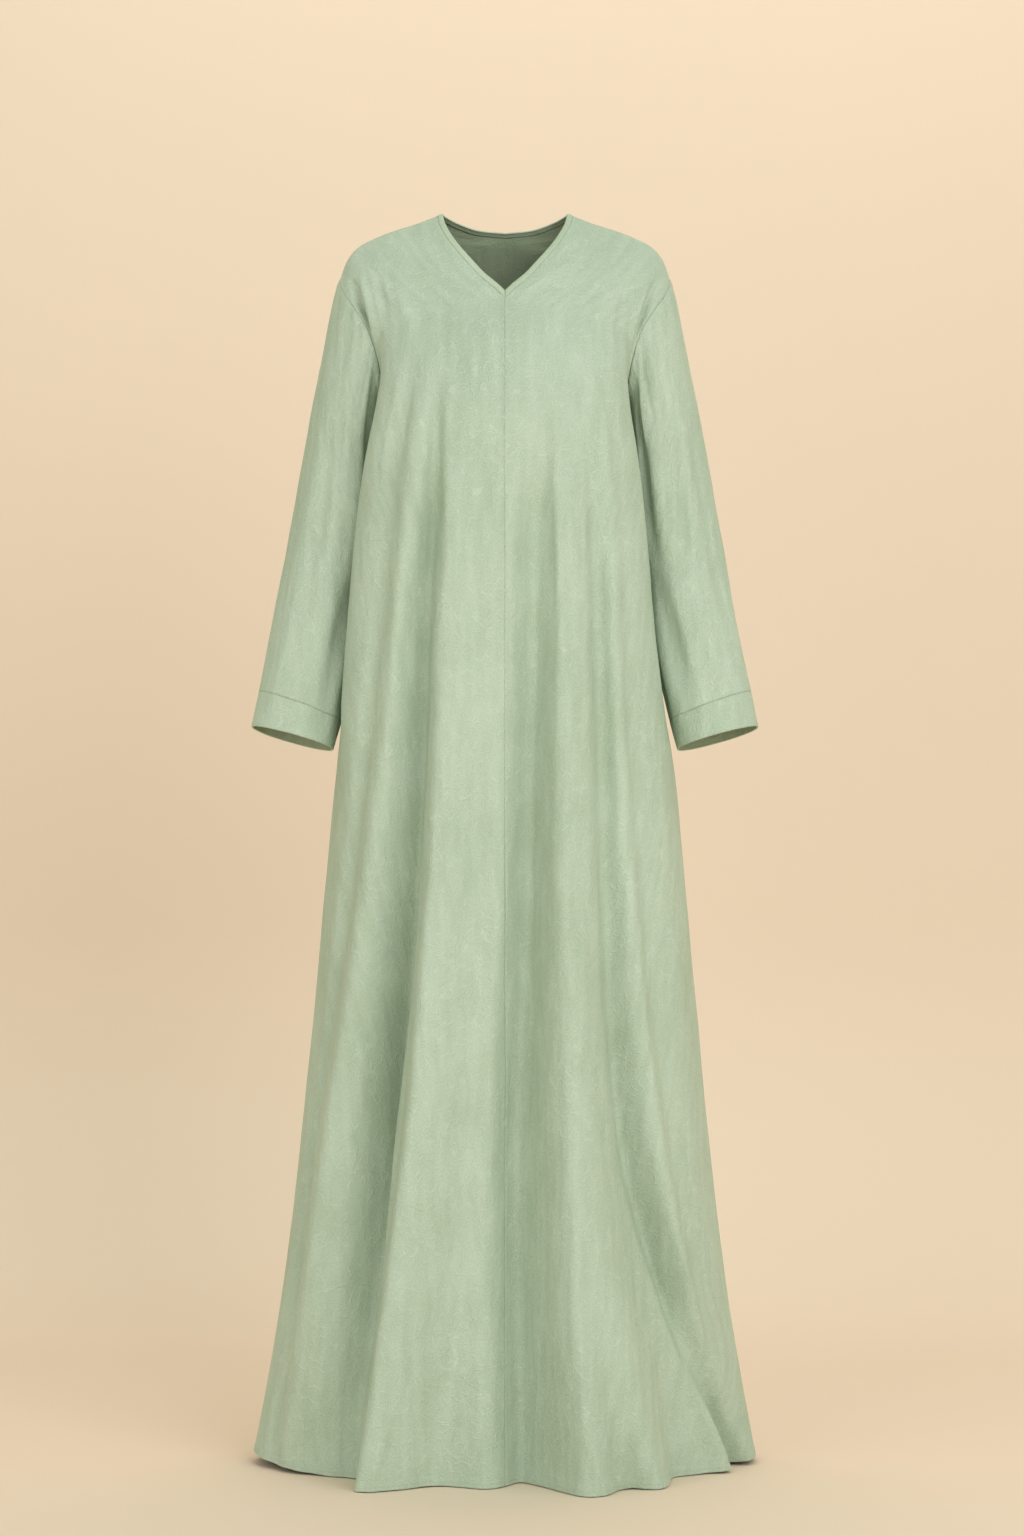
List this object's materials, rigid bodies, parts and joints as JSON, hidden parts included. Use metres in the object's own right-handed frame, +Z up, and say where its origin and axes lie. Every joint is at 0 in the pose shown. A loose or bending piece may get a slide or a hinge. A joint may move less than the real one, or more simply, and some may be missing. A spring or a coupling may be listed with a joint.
{
  "type": "prayer dress",
  "caption": "Full-length A-line prayer dress of light crinkled cloth with a V neck, a narrow neck binding and long straight sleeves, worn shape.",
  "frame": {"origin": "the middle of the shoulder line, level with the neck points of the shoulder seams, where the wearer's shoulders hold the dress", "axes": "+Z up along the dress, -Y the way its front faces, +X the wearer's left"},
  "size_m": [0.615, 0.4394, 1.5247],
  "materials": {
    "cloth": "matt, soft sheen, fine crinkle emboss",
    "cuff_hem": "matt, two layers topstitched",
    "binding": "matt, folded strip"
  },
  "bodies": {
    "root": {"front_left": "cloth", "front_right": "cloth", "back": "cloth", "sleeve_left": "cloth", "sleeve_right": "cloth", "cuff_hem_left": "cuff_hem", "cuff_hem_right": "cuff_hem", "neck_binding": "binding"}
  },
  "joints": []
}
